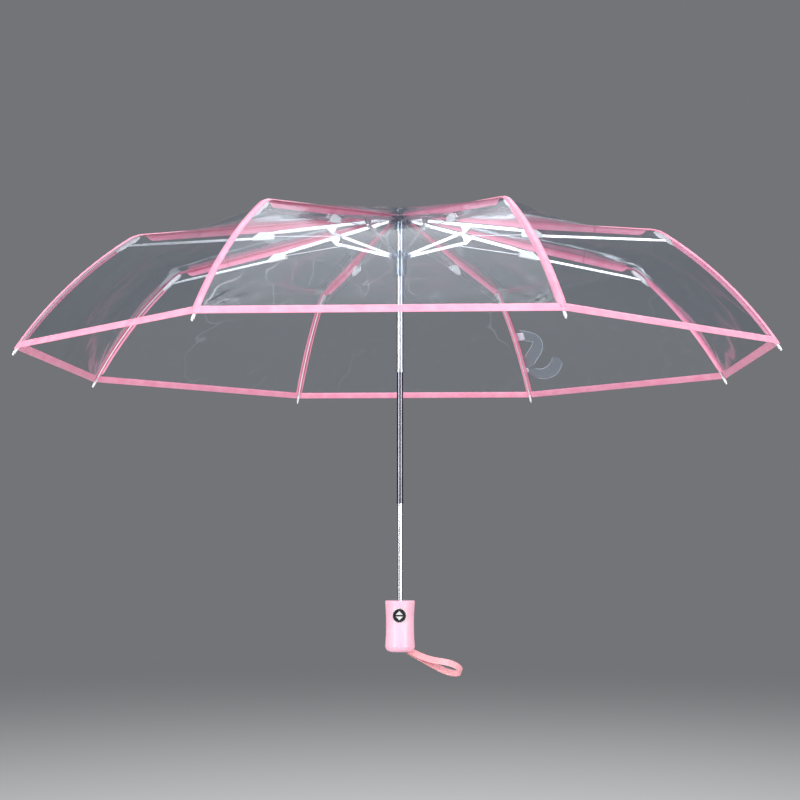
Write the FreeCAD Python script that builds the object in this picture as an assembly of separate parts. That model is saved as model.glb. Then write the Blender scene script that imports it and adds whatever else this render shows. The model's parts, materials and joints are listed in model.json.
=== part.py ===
import FreeCAD, Part
import math
import os

# Clear folding umbrella, millimetres, +Z up along the shaft.
# Origin: on the shaft's axis in the grip, 31 mm above its foot. It stands open, with its
# three-piece shaft pulled out.
# Everything on a rib is drawn in the rib's own plane as (r, z), with t across it,
# and is then turned about the shaft to each of the eight ribs.

V = FreeCAD.Vector

# ---------------------------------------------------------------- driving dimensions
RIBS = 8
RIB_STEP = 360.0 / RIBS
FIRST_RIB = RIB_STEP / 2            # azimuth of rib 1, from +X

# pivots in the rib plane (r, z)
CROWN_PIVOT = (13.0, 541.0)         # top rib on the crown's tie ring
STRETCH_PIVOT = (95.0, 517.0)       # stretcher on the top rib's lug
RUNNER_PIVOT = (13.0, 493.0)        # stretcher's foot in the runner
MID_PIVOT = (190.0, 509.0)          # white connector on the top rib's end
KNEE_PIVOT = (365.7, 481.9)         # tail rib on the middle rib's end
TIP = (500.0, 339.0)                # centre of the tail rib's ball tip
ROD_SETBACK = 14.0                  # link rod's foot, along the stretcher from its pivot
ROD_EYE = (-13.4, -4.1)             # link rod's other end, in the connector's frame
BAR_DROP = 5.5                      # middle rib's bar below its pivot

# rib sections (half width across the plane, half height in it)
TOP_HALF, TOP_DEEP, TOP_WALL = 2.0, 2.0, 0.55
STR_HALF, STR_DEEP, STR_WALL = 1.2, 1.8, 0.5
MID_HALF, MID_DEEP, MID_WALL = 1.6, 1.4, 0.45
BLADE_HALF = 0.6
BLADE_LONG = 22.0
PIN_R, BORE_R = 0.6, 0.7
ROD_R, ROD_SIDE = 0.6, 3.4          # link rod's radius and its distance beside the plane
WIRE_R = 0.45                       # control wire in the middle rib
TAIL_R = 1.0
TAIL_LIFT = 2.6                     # tail rod's start above the knee pivot
TAIL_BOW = 11.0                     # half the angle that the tail rod bends through
BALL_R = 1.7

# shaft tubes (outer radius, inner radius, bottom, top)
LOWER = (3.5, 3.0, -28.0, 187.0)
MIDDLE = (4.25, 3.6, 162.0, 364.0)
UPPER = (5.0, 4.35, 336.0, 540.0)
COLLAR_LONG = 5.0                   # rolled collar at the upper tube's lower end

# crown and runner
CROWN_LOW, CROWN_DISC, CROWN_TOP = 523.5, 537.0, 544.4
HEAD_R = 15.4                       # notched discs of the crown and the runner
BARREL_LONG, BARREL_R = 28.0, 9.2   # runner's barrel below its pivots

# canopy
FILM = 0.3                          # height of the film's solid
TAPE = 0.4                          # height of the binding tape's solid
TAPE_WIDE = 10.0
FILM_LIFT = 2.7                     # film's corners above the tail rod's centre line
APEX = (6.5, 547.0)
TAIL_PLATES = 3                     # flat plates from the knee to the hem
KNEE_ANGLE, HEM_ANGLE = 55.5, 32.2  # about the centre of the tail rod's arc

# grip
GRIP_TOP, GRIP_FOOT = 35.0, -31.0
GRIP_R, WAIST_R, FOOT_ROUND = 19.4, 18.3, 7.5
GRIP_CAVITY_R = 15.5
COLLAR = 3.5
BUTTON_Z, BUTTON_R, BEZEL_R = 16.4, 8.4, 9.6
BUTTON_FACE, BUTTON_BACK = -19.2, -15.2
SEAT = (-11.6, -10.4)               # spring seat inside the grip, along Y

# wrist strap: a flat ribbon loop; its route lies in one tilted plane, (along, across)
STRAP_WIDE, STRAP_THICK = 10.0, 1.2
STRAP_EXIT = V(10.5, 0.0, -29.5)
STRAP_DROP = 20.0                   # slope of the loop below level
STRAP_TILT = 40.0                   # the loop's near side is turned up by this
STRAP_ROUTE = [(0.0, -0.9), (12.0, 1.2), (25.0, 2.2), (37.0, 0.2), (49.0, -4.4), (60.0, -6.8),
               (70.0, -4.4), (76.0, 3.0), (70.0, 11.0), (58.0, 14.5), (46.0, 13.2), (34.0, 10.2),
               (22.0, 6.9), (11.0, 3.6), (0.0, 0.9)]

# closing strap on rib 2: (out from the seam, up the slope) in the canopy's surface
STRAP_RIB = 1
CLOSING_FOOT, CLOSING_TOP = 48.0, 122.0
CLOSING_OUTLINE = [(3, -4), (34, -16), (62, 4), (60, 22), (24, 18), (22, 52), (10, 78), (3, 70)]
CLOSING_GAP, CLOSING_THICK = 3.4, 0.8


# ---------------------------------------------------------------- small helpers
def angle_of(start, end):
    return math.degrees(math.atan2(end[1] - start[1], end[0] - start[0]))


def distance(start, end):
    return math.hypot(end[0] - start[0], end[1] - start[1])


def placed(origin, angle, point):
    """A point given in a link's own frame, in the rib plane."""
    c, s = math.cos(math.radians(angle)), math.sin(math.radians(angle))
    return (origin[0] + point[0] * c - point[1] * s, origin[1] + point[0] * s + point[1] * c)


def plate(points, low, high):
    """A flat polygon in the rib plane, thick from t = low to t = high."""
    corners = [V(r, low, z) for r, z in points]
    face = Part.Face(Part.makePolygon(corners + corners[:1]))
    return face.extrude(V(0, high - low, 0))


def bar(origin, angle, along, up, low, high):
    """A rectangle in a link's own frame, as a plate."""
    corners = [(along[0], up[0]), (along[1], up[0]), (along[1], up[1]), (along[0], up[1])]
    return plate([placed(origin, angle, c) for c in corners], low, high)


def disc(centre, radius, low, high):
    return Part.makeCylinder(radius, high - low, V(centre[0], low, centre[1]), V(0, 1, 0))


def ring_solid(outer, inner, bottom, top):
    solid = Part.makeCylinder(outer, top - bottom, V(0, 0, bottom))
    return solid.cut(Part.makeCylinder(inner, top - bottom, V(0, 0, bottom)))


def fuse(shapes):
    return shapes[0].fuse(shapes[1:]).removeSplitter()


def rib_azimuth(i):
    return FIRST_RIB + RIB_STEP * i


def turned(shape, i):
    copy = shape.copy()
    copy.rotate(V(0, 0, 0), V(0, 0, 1), rib_azimuth(i))
    return copy


def rod_between(start, end, radius, t):
    a, b = V(start[0], t, start[1]), V(end[0], t, end[1])
    return Part.makeCylinder(radius, (b - a).Length, a, b - a)


def write(name, shape):
    shape.exportStep("parts/%s.step" % name)
    solids = shape.Solids
    print("%-16s %2d solids %10.1f mm3 valid %s" % (name, len(solids), shape.Volume, shape.isValid()))


# ---------------------------------------------------------------- one rib, link by link
TOP_ANGLE = angle_of(CROWN_PIVOT, MID_PIVOT)
TOP_LONG = distance(CROWN_PIVOT, MID_PIVOT)
STR_ANGLE = angle_of(RUNNER_PIVOT, STRETCH_PIVOT)
STR_LONG = distance(RUNNER_PIVOT, STRETCH_PIVOT)
ROD_FOOT = placed(RUNNER_PIVOT, STR_ANGLE, (STR_LONG - ROD_SETBACK, 0))
MID_SPAN = distance(MID_PIVOT, KNEE_PIVOT)
MID_ANGLE = angle_of(MID_PIVOT, KNEE_PIVOT) + math.degrees(math.asin(BAR_DROP / MID_SPAN))
MID_LONG = math.sqrt(MID_SPAN ** 2 - BAR_DROP ** 2)
ROD_END = placed(MID_PIVOT, MID_ANGLE, ROD_EYE)
TAIL_ANGLE = angle_of(KNEE_PIVOT, TIP)
TAIL_START = placed(KNEE_PIVOT, TAIL_ANGLE, (0.0, TAIL_LIFT))


def arc_centre():
    """Centre and radius of the tail rod's arc, from its two ends and its bend."""
    chord = distance(TAIL_START, TIP)
    radius = chord / 2 / math.sin(math.radians(TAIL_BOW))
    angle = angle_of(TAIL_START, TIP)
    back = radius * math.cos(math.radians(TAIL_BOW))
    return placed(TAIL_START, angle, (chord / 2, -back)), radius


ARC_CENTRE, ARC_RADIUS = arc_centre()


def on_arc(angle, lift):
    return placed(ARC_CENTRE, angle, (ARC_RADIUS + lift, 0.0))


def channel(origin, angle, along, half, deep, wall):
    """A U-shaped strip rib, its open side down."""
    outer = bar(origin, angle, along, (-deep, deep), -half, half)
    inner = bar(origin, angle, (along[0] - 1, along[1] + 1), (-deep - 1, deep - wall),
                -half + wall, half - wall)
    return outer.cut(inner)


def top_rib():
    origin, angle = CROWN_PIVOT, TOP_ANGLE
    blade_up = (-1.5, 1.6)
    strip = channel(origin, angle, (16, TOP_LONG - BLADE_LONG), TOP_HALF, TOP_DEEP, TOP_WALL)
    root = bar(origin, angle, (0, BLADE_LONG + 4), blade_up, -BLADE_HALF, BLADE_HALF)
    end = bar(origin, angle, (TOP_LONG - BLADE_LONG - 4, TOP_LONG), blade_up,
              -BLADE_HALF, BLADE_HALF)
    pieces = [strip, root, end,
              disc(CROWN_PIVOT, 2.2, -BLADE_HALF, BLADE_HALF),
              disc(MID_PIVOT, 2.0, -BLADE_HALF, BLADE_HALF)]
    lug_along = distance(CROWN_PIVOT, STRETCH_PIVOT) * math.cos(
        math.radians(angle - angle_of(CROWN_PIVOT, STRETCH_PIVOT)))
    lug_down = -distance(CROWN_PIVOT, STRETCH_PIVOT) * math.sin(
        math.radians(angle - angle_of(CROWN_PIVOT, STRETCH_PIVOT)))
    lug = [(lug_along - 8, -1), (lug_along + 8, -1), (lug_along + 2, lug_down - 0.8),
           (lug_along - 2, lug_down - 0.8)]
    for side in (-1, 1):
        low, high = sorted((side * (TOP_HALF - TOP_WALL), side * TOP_HALF))
        pieces.append(plate([placed(origin, angle, p) for p in lug], low, high))
        pieces.append(disc(STRETCH_PIVOT, 2.3, low, high))
    pieces.append(disc(STRETCH_PIVOT, PIN_R, -TOP_HALF - 0.2, TOP_HALF + 0.2))
    solid = fuse(pieces)
    for eye in (CROWN_PIVOT, MID_PIVOT):
        solid = solid.cut(disc(eye, BORE_R, -BLADE_HALF - 1, BLADE_HALF + 1))
    return solid


def stretcher():
    origin, angle = RUNNER_PIVOT, STR_ANGLE
    strip = channel(origin, angle, (4, STR_LONG - 4), STR_HALF, STR_DEEP, STR_WALL)
    pieces = [strip,
              bar(origin, angle, (0, 8), (-STR_DEEP, STR_DEEP), -STR_HALF, STR_HALF),
              bar(origin, angle, (STR_LONG - 8, STR_LONG), (-STR_DEEP, STR_DEEP),
                  -STR_HALF, STR_HALF),
              disc(RUNNER_PIVOT, 2.0, -STR_HALF, STR_HALF),
              disc(STRETCH_PIVOT, 2.1, -STR_HALF, STR_HALF),
              disc(RUNNER_PIVOT, PIN_R, -2.2, 2.2),
              disc(ROD_FOOT, PIN_R, -STR_HALF - 0.3, ROD_SIDE + 0.8),
              disc(ROD_FOOT, 1.1, ROD_SIDE + 0.8, ROD_SIDE + 1.2)]
    return fuse(pieces).cut(disc(STRETCH_PIVOT, BORE_R, -3, 3))


def link_rod():
    low, high = ROD_SIDE - ROD_R, ROD_SIDE + ROD_R
    inset = 1.15 / distance(ROD_FOOT, ROD_END)
    ends = [tuple(a + (b - a) * share for a, b in zip(ROD_FOOT, ROD_END)) for share in (inset, 1 - inset)]
    rod = fuse([rod_between(ends[0], ends[1], ROD_R - 0.08, ROD_SIDE),
                disc(ROD_FOOT, 1.6, low, high), disc(ROD_END, 1.6, low, high)])
    for eye in (ROD_FOOT, ROD_END):
        rod = rod.cut(disc(eye, BORE_R, low - 1, high + 1))
    return rod


def connector():
    """White moulded joint that turns on the top rib's end and grips the middle rib."""
    origin, angle = MID_PIVOT, MID_ANGLE
    half, slot = 2.2, 0.8
    outline = [(-15.8, -2.2), (-14.8, -7.7), (13, -7.7), (13, -3.4), (4, 2.3), (-4, 2.3)]
    solid = plate([placed(origin, angle, p) for p in outline], -half, half)
    solid = solid.cut(bar(origin, angle, (-20, 6), (-6.5, 5), -slot, slot))
    solid = solid.cut(bar(origin, angle, (5.9, 16), (-3.9, 5), -slot, slot))
    pocket = (-BAR_DROP - MID_DEEP, -BAR_DROP + MID_DEEP)
    solid = solid.cut(bar(origin, angle, (6, 20), pocket, -MID_HALF, MID_HALF))
    pins = [disc(MID_PIVOT, PIN_R, -half - 0.3, half + 0.3), disc(ROD_END, PIN_R, half - 0.5, half + 0.4)]
    return fuse([solid] + pins)


def middle_rib():
    origin, angle = MID_PIVOT, MID_ANGLE
    centre = placed(origin, angle, (0, -BAR_DROP))
    strip = channel(centre, angle, (6, MID_LONG - BLADE_LONG + 2), MID_HALF, MID_DEEP, MID_WALL)
    end = bar(centre, angle, (MID_LONG - BLADE_LONG - 2, MID_LONG), (-1.2, 1.2),
              -BLADE_HALF, BLADE_HALF)
    rib = fuse([strip, end, disc(KNEE_PIVOT, 1.2, -BLADE_HALF, BLADE_HALF)])
    rib = rib.cut(disc(KNEE_PIVOT, BORE_R, -2, 2))
    wire = rod_between(placed(centre, angle, (24, -0.2)),
                       placed(centre, angle, (MID_LONG - 36, -0.2)), WIRE_R, 0.0)
    return Part.makeCompound([connector(), rib, wire])


def tail_rib():
    origin, angle = KNEE_PIVOT, TAIL_ANGLE
    half, slot = 1.6, 1.0
    top = TAIL_LIFT + TAIL_R
    outline = [(-20.5, -5.2), (-20.0, -1.6), (-6, 2.6), (0, top), (14, top + 0.9), (14, 1.4),
               (3, -2.0), (-3, -2.0), (-12, -5.4)]
    bracket = plate([placed(origin, angle, p) for p in outline], -half, half)
    throat = [(-22, -7), (-22, -3.0), (-6, 1.3), (3, 1.5), (3, 8), (20, 8), (20, -7)]
    bracket = bracket.cut(plate([placed(origin, angle, p) for p in throat], -slot, slot))
    start = V(TAIL_START[0], 0, TAIL_START[1])
    centre = V(ARC_CENTRE[0], 0, ARC_CENTRE[1])
    tangent = (start - centre).cross(V(0, 1, 0))
    section = Part.Face(Part.Wire(Part.makeCircle(TAIL_R, start, tangent)))
    rod = section.revolve(centre, V(0, 1, 0), 2 * TAIL_BOW)
    end = V(TIP[0], 0, TIP[1])
    pieces = [bracket, rod, Part.makeSphere(BALL_R, end), disc(KNEE_PIVOT, PIN_R, -half - 0.3, half + 0.3)]
    return fuse(pieces)


# ---------------------------------------------------------------- shaft, crown, runner
def tube(sizes):
    return ring_solid(*sizes)


def middle_tube():
    """Thin tube with a rolled collar at its lower end."""
    outer, inner, bottom, _ = MIDDLE
    return fuse([tube(MIDDLE), ring_solid(outer + 0.35, inner, bottom, bottom + 3)])


def upper_tube():
    """Top tube; its rolled collar ends below the lowest place that the runner reaches."""
    outer, inner, bottom, _ = UPPER
    return fuse([tube(UPPER), ring_solid(outer + 0.4, inner, bottom, bottom + COLLAR_LONG)])


def slots(half, inner, outer, bottom, top):
    """Eight radial slots."""
    one = Part.makeBox(outer - inner, 2 * half, top - bottom, V(inner, -half, bottom))
    return [turned(one, i) for i in range(RIBS)]


def crown():
    """Notched ring and barrel that top the shaft; the tie ring lies in its groove."""
    pivot_r, pivot_z = CROWN_PIVOT
    body = fuse([Part.makeCylinder(7.25, CROWN_DISC - CROWN_LOW, V(0, 0, CROWN_LOW)),
                 Part.makeCylinder(HEAD_R, CROWN_TOP - CROWN_DISC, V(0, 0, CROWN_DISC))])
    body = body.cut(Part.makeCylinder(UPPER[0], UPPER[3] - CROWN_LOW, V(0, 0, CROWN_LOW)))
    for slot in slots(0.9, 9.8, 20, CROWN_DISC - 1, CROWN_TOP + 1):
        body = body.cut(slot)
    groove = ring_solid(pivot_r + 0.7, pivot_r - 0.7, pivot_z - 0.7, CROWN_TOP + 1)
    return body.cut(groove)


def crown_tie_ring():
    return Part.makeTorus(CROWN_PIVOT[0], PIN_R, V(0, 0, CROWN_PIVOT[1]))


def top_cap():
    """Low domed finial; its stem comes up through the film's centre hole."""
    stem = Part.makeCylinder(5.0, 3.2, V(0, 0, CROWN_TOP))
    flange = Part.makeCylinder(9.0, 1.0, V(0, 0, 547.3))
    ball = Part.makeSphere(15.0, V(0, 0, 535.8))
    dome = ball.common(Part.makeCylinder(7.6, 6, V(0, 0, 548.0)))
    return fuse([stem, flange, dome])


def runner():
    """Slider: notched head, with a barrel below that the hand pushes."""
    pivot_r, pivot_z = RUNNER_PIVOT
    foot_z = pivot_z - BARREL_LONG
    head = Part.makeCylinder(HEAD_R, 6, V(0, 0, pivot_z - 3))
    hub = Part.makeCylinder(8.0, 3, V(0, 0, pivot_z + 3))
    barrel = Part.makeCylinder(BARREL_R, BARREL_LONG - 3, V(0, 0, foot_z))
    foot = Part.makeCylinder(BARREL_R + 1, 4, V(0, 0, foot_z))
    body = fuse([head, hub, barrel, foot])
    body = body.cut(Part.makeCylinder(UPPER[0] + 0.08, 60, V(0, 0, foot_z - 2)))
    for slot in slots(1.5, 10.5, 20, pivot_z - 4, pivot_z + 4):
        body = body.cut(slot)
    for groove in slots(2.5, pivot_r - 0.75, pivot_r + 0.75, pivot_z - 4, pivot_z + 0.75):
        body = body.cut(groove)
    return body


def coil(radius, wire, pitch, long):
    """A compression spring along +Z from the origin."""
    helix = Part.makeHelix(pitch, long, radius)
    section = Part.Wire(Part.makeCircle(wire, V(radius, 0, 0), V(0, 1, 0)))
    return Part.Wire(helix).makePipeShell([section], True, True)


def main_spring():
    """Long spring inside the shaft that throws the tubes out."""
    foot, head = LOWER[2] + 3, UPPER[3] - 2
    spring = coil(2.2, 0.4, 11.0, head - foot)
    spring.translate(V(0, 0, foot))
    return spring


# ---------------------------------------------------------------- grip
def grip_outline():
    """Half section of the grip's outer skin, from its foot to the collar."""
    foot_r = GRIP_R - FOOT_ROUND
    corner = V(GRIP_R, 0, GRIP_FOOT + FOOT_ROUND)
    low = V(foot_r, 0, GRIP_FOOT)
    round_mid = V(foot_r + FOOT_ROUND * math.sin(math.radians(45)), 0,
                  GRIP_FOOT + FOOT_ROUND * (1 - math.cos(math.radians(45))))
    top = V(GRIP_R, 0, GRIP_TOP - COLLAR)
    side = Part.BSplineCurve()
    side.interpolate([corner, V(GRIP_R - 0.5, 0, -17), V(WAIST_R, 0, 4), V(GRIP_R - 0.7, 0, 22), top])
    return Part.Arc(low, round_mid, corner).toShape(), side.toShape(), low, top


def handle_grip():
    round_edge, side_edge, low, top = grip_outline()
    axis_low, axis_top = V(0, 0, low.z), V(0, 0, top.z)
    wire = Part.Wire([Part.makeLine(axis_low, low), round_edge, side_edge,
                      Part.makeLine(top, axis_top), Part.makeLine(axis_top, axis_low)])
    skin = Part.Face(wire).revolve(V(0, 0, 0), V(0, 0, 1), 360)
    foot_wall = GRIP_FOOT + 5.0
    skin = skin.cut(Part.makeCylinder(GRIP_CAVITY_R, 80, V(0, 0, foot_wall)))
    skin = skin.cut(Part.makeCylinder(11.9, 20, V(0, 0, GRIP_FOOT - 5)))
    skin = skin.cut(Part.makeCylinder(BEZEL_R, 12, V(0, -25, BUTTON_Z), V(0, 1, 0)))
    seat = Part.makeBox(40, SEAT[1] - SEAT[0], 20, V(-20, SEAT[0], BUTTON_Z - 10))
    seat = seat.common(Part.makeCylinder(GRIP_CAVITY_R + 0.3, 80, V(0, 0, GRIP_FOOT)))
    seat = seat.cut(Part.makeCylinder(2.2, 20, V(0, -20, BUTTON_Z), V(0, 1, 0)))
    return fuse([skin, seat])


def handle_collar():
    """Flat ring that closes the grip's top round the lower tube."""
    ring = ring_solid(GRIP_R, LOWER[0], GRIP_TOP - COLLAR, GRIP_TOP)
    rim = [edge for edge in ring.Edges
           if abs(edge.BoundBox.ZMax - GRIP_TOP) < 0.01 and abs(edge.BoundBox.ZMin - GRIP_TOP) < 0.01
           and edge.BoundBox.XMax > GRIP_R - 0.1]
    ring = ring.makeFillet(1.2, rim)
    plug = ring_solid(GRIP_CAVITY_R - 0.1, LOWER[0], GRIP_TOP - COLLAR - 4, GRIP_TOP - COLLAR)
    return fuse([ring, plug])


def handle_cap():
    """Plug in the grip's foot, with the socket that holds the lower tube."""
    disc_low = Part.makeCylinder(11.8, 5.0, V(0, 0, GRIP_FOOT))
    flange = Part.makeCylinder(GRIP_CAVITY_R - 0.1, 2.0, V(0, 0, GRIP_FOOT + 5.0))
    socket = Part.makeCylinder(7.5, 9.0, V(0, 0, GRIP_FOOT + 7.0))
    body = fuse([disc_low, flange, socket])
    return body.cut(Part.makeCylinder(LOWER[0], 30, V(0, 0, LOWER[2])))


def button_bezel():
    ring = Part.makeCylinder(BEZEL_R, 5.2, V(0, -18.7, BUTTON_Z), V(0, 1, 0))
    ring = ring.cut(Part.makeCylinder(BUTTON_R + 0.15, 10, V(0, -20, BUTTON_Z), V(0, 1, 0)))
    edges = [e for e in ring.Edges if e.BoundBox.YMax < -18.6 and e.BoundBox.XMax > BEZEL_R - 0.1]
    return ring.makeFillet(0.4, edges)


def push_button():
    cap = Part.makeCylinder(BUTTON_R, BUTTON_BACK - BUTTON_FACE, V(0, BUTTON_FACE, BUTTON_Z), V(0, 1, 0))
    edges = [e for e in cap.Edges if e.BoundBox.YMax < BUTTON_FACE + 0.01]
    cap = cap.makeFillet(0.7, edges)
    stem = Part.makeCylinder(2.0, 5.9, V(0, BUTTON_BACK, BUTTON_Z), V(0, 1, 0))
    return fuse([cap, stem])


def latch_fork():
    """Fork on the button's stem that straddles the tube and frees the catch."""
    root = -BUTTON_BACK - 5.9
    back = Part.makeBox(10.8, 2.0, 4.0, V(-5.4, -root, BUTTON_Z - 2))
    arms = [Part.makeBox(1.2, 6.5, 4.0, V(x, -root + 2.0, BUTTON_Z - 2)) for x in (-5.4, 4.2)]
    return fuse([back] + arms)


def button_spring():
    spring = coil(2.9, 0.3, 1.1, SEAT[0] - BUTTON_BACK - 0.7)
    spring.rotate(V(0, 0, 0), V(1, 0, 0), -90)
    spring.translate(V(0, BUTTON_BACK + 0.35, BUTTON_Z))
    return spring


# ---------------------------------------------------------------- straps
def tangent_path(points):
    """Straight runs joined by arcs that touch both runs; the radii are printed."""
    edges, radii, start = [], [], points[0]
    for before, corner, after in zip(points, points[1:], points[2:]):
        into, out = (corner - before), (after - corner)
        turn = math.acos(max(-1, min(1, into.dot(out) / into.Length / out.Length)))
        reach = 0.45 * min(into.Length, out.Length)
        first = corner - into * (reach / into.Length)
        last = corner + out * (reach / out.Length)
        middle = (first + last) * 0.5
        radius = reach / math.tan(turn / 2)
        inward = (middle - corner).normalize()
        centre = corner + inward * (radius / math.cos(turn / 2))
        edges.append(Part.makeLine(start, first))
        edges.append(Part.Arc(first, centre - inward * radius, last).toShape())
        radii.append(round(radius, 1))
        start = last
    edges.append(Part.makeLine(start, points[-1]))
    return edges, radii


def wrist_strap():
    """Ribbon loop, drawn flat and then tilted into place."""
    half = STRAP_THICK / 2
    sides = []
    for shift in (-half, half):
        points = []
        for index, point in enumerate(STRAP_ROUTE):
            before = STRAP_ROUTE[max(index - 1, 0)]
            after = STRAP_ROUTE[min(index + 1, len(STRAP_ROUTE) - 1)]
            heading = math.radians(angle_of(before, after))
            points.append(V(point[0] - shift * math.sin(heading),
                            point[1] + shift * math.cos(heading), 0))
        sides.append(points)
    inner, radii = tangent_path(sides[0])
    outer, _ = tangent_path(sides[1])
    print("wrist strap radii", radii)
    caps = [Part.makeLine(sides[0][0], sides[1][0]), Part.makeLine(sides[0][-1], sides[1][-1])]
    ribbon = Part.Face(Part.Wire(Part.sortEdges(inner + outer + caps)[0]))
    ribbon = ribbon.extrude(V(0, 0, STRAP_WIDE))
    ribbon.translate(V(0, 0, -STRAP_WIDE / 2))
    ribbon.rotate(V(0, 0, 0), V(1, 0, 0), -STRAP_TILT)
    ribbon.rotate(V(0, 0, 0), V(0, 1, 0), STRAP_DROP)
    ribbon.translate(STRAP_EXIT)
    return ribbon


# ---------------------------------------------------------------- canopy
def seam_line():
    """The canopy's outline at a rib: straight to the knee, then in flat steps to the hem."""
    step = (HEM_ANGLE - KNEE_ANGLE) / TAIL_PLATES
    bend = [on_arc(KNEE_ANGLE + step * k, FILM_LIFT) for k in range(TAIL_PLATES + 1)]
    return [APEX] + bend


def on_rib(point, i):
    a = math.radians(rib_azimuth(i))
    return V(point[0] * math.cos(a), point[0] * math.sin(a), point[1])


def sheet(corners, height):
    face = Part.Face(Part.makePolygon(corners + corners[:1]))
    return face.extrude(V(0, 0, height))


def between(start, end, share):
    return start + (end - start) * share


def canopy_film():
    line = seam_line()
    plates = []
    for i in range(RIBS):
        for high, low in zip(line, line[1:]):
            corners = [on_rib(high, i), on_rib(high, i + 1), on_rib(low, i + 1), on_rib(low, i)]
            plates.append(sheet(corners, -FILM))
    return Part.makeCompound(plates)


def canopy_binding():
    """Tape along every seam and round the hem, lying on the film."""
    line = seam_line()
    start = (11.0, APEX[1] + (line[1][1] - APEX[1]) * (11.0 - APEX[0]) / (line[1][0] - APEX[0]))
    line[0] = start
    half = TAPE_WIDE / 2
    strips = []
    for i in range(RIBS):
        for here, beside in ((i, i + 1), (i + 1, i)):
            for high, low in zip(line, line[1:]):
                top, foot = on_rib(high, here), on_rib(low, here)
                across = (on_rib(low, beside) - foot).normalize() * half
                strips.append(sheet([top, top + across, foot + across, foot], TAPE))
        top = [on_rib(line[-2], i), on_rib(line[-2], i + 1)]
        foot = [on_rib(line[-1], i), on_rib(line[-1], i + 1)]
        across = (foot[1] - foot[0]).normalize() * half
        top, foot = [top[0] + across, top[1] - across], [foot[0] + across, foot[1] - across]
        share = TAPE_WIDE / ((top[0] + top[1] - foot[0] - foot[1]) * 0.5).Length
        strips.append(sheet([foot[0], foot[1], between(foot[1], top[1], share),
                             between(foot[0], top[0], share)], TAPE))
    return Part.makeCompound(strips)


def seam_point(up):
    """Point on the strap's seam, measured up the slope from the hem."""
    line = seam_line()[::-1]
    for low, high in zip(line, line[1:]):
        run = distance(low, high)
        if up <= run:
            return (low[0] + (high[0] - low[0]) * up / run, low[1] + (high[1] - low[1]) * up / run)
        up -= run
    return line[-1]


def strap_frame():
    """Origin and axes of the closing strap: out along the gore, up the slope, off the film."""
    foot, top = on_rib(seam_point(CLOSING_FOOT), STRAP_RIB), on_rib(seam_point(CLOSING_TOP), STRAP_RIB)
    hem = seam_line()[-1]
    out = (on_rib(hem, STRAP_RIB - 1) - on_rib(hem, STRAP_RIB)).normalize()
    up = (top - foot).normalize()
    off = up.cross(out).normalize()
    if off.z < 0:
        off = off * -1
    return foot, out, up, off


def strap_sheet(outline, gap, thick):
    foot, out, up, off = strap_frame()
    corners = [foot + out * a + up * b + off * gap for a, b in outline]
    face = Part.Face(Part.makePolygon(corners + corners[:1]))
    return face.extrude(off * thick)


def closing_strap():
    return strap_sheet(CLOSING_OUTLINE, CLOSING_GAP, CLOSING_THICK)


def closing_patch():
    """Hook-and-loop pad that the strap's end sticks to."""
    return strap_sheet([(2, 58), (16, 58), (16, 70), (2, 70)], CLOSING_GAP - 1.4, 1.4)


# ---------------------------------------------------------------- write every piece
def main():
    os.makedirs("parts", exist_ok=True)
    write("handle_grip", handle_grip())
    write("handle_collar", handle_collar())
    write("handle_cap", handle_cap())
    write("button_bezel", button_bezel())
    write("push_button", push_button())
    write("latch_fork", latch_fork())
    write("button_spring", button_spring())
    write("wrist_strap", wrist_strap())
    write("lower_tube", tube(LOWER))
    write("middle_tube", middle_tube())
    write("upper_tube", upper_tube())
    write("main_spring", main_spring())
    write("crown", crown())
    write("crown_tie_ring", crown_tie_ring())
    write("top_cap", top_cap())
    write("runner", runner())
    write("canopy_film", canopy_film())
    write("canopy_binding", canopy_binding())
    write("closing_strap", closing_strap())
    write("closing_patch", closing_patch())
    links = {"top_rib": top_rib(), "stretcher": stretcher(), "link_rod": link_rod(),
             "middle_rib": middle_rib(), "tail_rib": tail_rib()}
    for name, link in links.items():
        for i in range(RIBS):
            write("%s_%d" % (name, i + 1), turned(link, i))


main()
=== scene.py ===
import json
import math

import bpy
from mathutils import Matrix, Vector, noise


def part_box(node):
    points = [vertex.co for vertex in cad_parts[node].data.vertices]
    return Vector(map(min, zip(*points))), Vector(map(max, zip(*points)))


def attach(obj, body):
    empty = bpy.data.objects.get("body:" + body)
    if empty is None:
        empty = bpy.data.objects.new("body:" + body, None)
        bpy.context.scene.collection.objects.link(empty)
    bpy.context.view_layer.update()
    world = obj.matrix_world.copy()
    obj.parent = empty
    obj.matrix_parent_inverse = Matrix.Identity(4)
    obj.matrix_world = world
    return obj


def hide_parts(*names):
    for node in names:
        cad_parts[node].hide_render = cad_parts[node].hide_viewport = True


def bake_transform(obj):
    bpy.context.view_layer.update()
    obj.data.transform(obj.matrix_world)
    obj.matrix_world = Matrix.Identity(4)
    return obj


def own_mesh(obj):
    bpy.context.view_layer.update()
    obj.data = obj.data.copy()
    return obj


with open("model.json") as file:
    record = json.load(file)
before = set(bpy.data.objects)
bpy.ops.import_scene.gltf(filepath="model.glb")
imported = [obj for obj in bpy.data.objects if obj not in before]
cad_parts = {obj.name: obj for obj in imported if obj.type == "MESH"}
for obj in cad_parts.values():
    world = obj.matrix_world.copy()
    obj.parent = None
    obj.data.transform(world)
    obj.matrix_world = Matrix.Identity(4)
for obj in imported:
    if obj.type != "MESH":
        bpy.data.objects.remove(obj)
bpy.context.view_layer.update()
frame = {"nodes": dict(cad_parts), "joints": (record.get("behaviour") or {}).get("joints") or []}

# The looks of a clear folding umbrella, in metres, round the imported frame.
# Canopy pieces are drawn in a rib's own frame (out from the shaft, across, up)
# and are then turned to each of the eight ribs.

# ---------------------------------------------------------------- sizes
RIBS = 8
GORE = 2 * math.pi / RIBS
HALF_GORE = GORE / 2

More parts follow.
